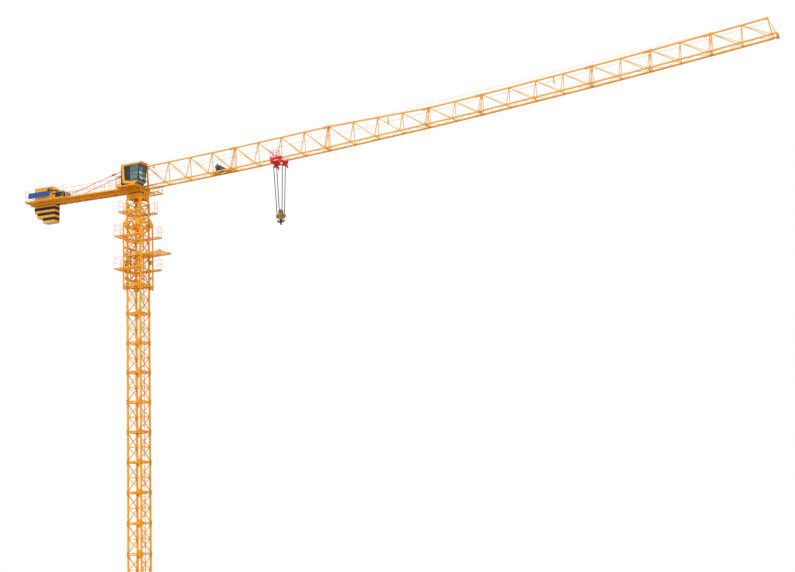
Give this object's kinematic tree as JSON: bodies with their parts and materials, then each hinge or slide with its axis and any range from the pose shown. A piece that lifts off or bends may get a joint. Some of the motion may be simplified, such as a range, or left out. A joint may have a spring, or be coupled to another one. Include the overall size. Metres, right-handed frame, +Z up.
{
  "type": "topless tower crane, 1:2 scale model",
  "caption": "Topless tower crane with a cambered lattice jib, counter-jib, cab, trolley and hook; slews, runs its trolley and hoists. 1:2 scale model.",
  "frame": {"origin": "centre of the foundation cross's flat underside, on the mast's axis", "axes": "+X along the jib, away from the mast; +Z up; +Y across, with the cab on the -Y side"},
  "size_m": [38.2115, 2.2283, 25.2088],
  "materials": {
    "crane_orange": "satin",
    "machine_grey": "satin",
    "bare_steel": "worn",
    "wire_rope": "greased",
    "hook_black": "satin",
    "block_ochre": "satin",
    "cab_glass": "clear",
    "seat_black": "matt",
    "slab_paint": "painted",
    "signal_red": "satin",
    "board_blue": "satin"
  },
  "bodies": {
    "tower": {"foundation_cross": "crane_orange", "mast_sections_odd": "crane_orange", "mast_sections_even": "crane_orange", "mast_ladder": "crane_orange", "climbing_frame": "crane_orange", "climbing_ram": "machine_grey", "working_platform_low": "crane_orange", "working_platform_high": "crane_orange", "loading_platform": "crane_orange", "tower_top_section": "crane_orange", "tower_top_platform": "crane_orange", "slewing_support": "crane_orange", "slewing_ring": "bare_steel"},
    "slewing_part": {"turntable": "crane_orange", "slewing_drives": "machine_grey", "tower_head": "crane_orange", "jib_root_platform": "crane_orange", "cab_shell": "crane_orange", "cab_glazing": "cab_glass", "cab_seat": "seat_black", "cab_platform": "crane_orange", "counter_jib_girders": "crane_orange", "counter_jib_walkway": "crane_orange", "counter_jib_railings": "crane_orange", "winch_deck": "crane_orange", "counterweights": "slab_paint", "counter_jib_stays": "signal_red", "hoist_winch_frame": "machine_grey", "control_cabinet": "crane_orange", "sign_board": "board_blue", "jib_section_1": "crane_orange", "jib_section_2": "crane_orange", "jib_section_3": "crane_orange", "jib_section_4": "crane_orange", "jib_section_5": "crane_orange", "jib_section_6": "crane_orange", "jib_section_7": "crane_orange", "jib_section_8": "crane_orange", "jib_tip": "crane_orange", "trolley_winch": "machine_grey"},
    "winch_drum": {"hoist_drum": "bare_steel"},
    "trolley": {"trolley_frame": "signal_red", "trolley_wheels": "bare_steel", "trolley_basket": "signal_red"},
    "rope_falls": {"hoist_ropes": "wire_rope"},
    "hook_block": {"hook_block": "block_ochre", "hook_sheaves": "bare_steel"},
    "hook": {"hook": "hook_black"}
  },
  "joints": [
    {"name": "slew", "type": "hinge", "parent": "tower", "child": "slewing_part", "pos_m": [0, 0, 22.372], "axis": [0, 0, 1], "continuous": true},
    {"name": "trolley_travel", "type": "hinge", "parent": "slewing_part", "child": "trolley", "pos_m": [-7.10232, 0, 431.79357], "axis": [0, -1, 0], "range_deg": [-0.82, 3.2]},
    {"name": "rope_plumb", "type": "hinge", "parent": "trolley", "child": "rope_falls", "pos_m": [8.12967, 0, 22.56695], "axis": [0, -1, 0], "range_deg": [-3.21, 0.83]},
    {"name": "hoist", "type": "slide", "parent": "rope_falls", "child": "hook_block", "axis": [0, 0, 1], "range_m": [-18.9, 1.7], "deforming": ["hoist_ropes"]},
    {"name": "hook_swivel", "type": "hinge", "parent": "hook_block", "child": "hook", "pos_m": [8.12967, 0, 19.97377], "axis": [0, 0, 1], "continuous": true},
    {"name": "drum_spin", "type": "hinge", "parent": "slewing_part", "child": "winch_drum", "pos_m": [-4.54405, 0, 22.98334], "axis": [0, 1, 0], "continuous": true}
  ],
  "couplings": [
    {"joint": "rope_plumb", "follows": "trolley_travel", "ratio": -1},
    {"joint": "drum_spin", "follows": "hoist", "rad_per_m": 24.39}
  ]
}
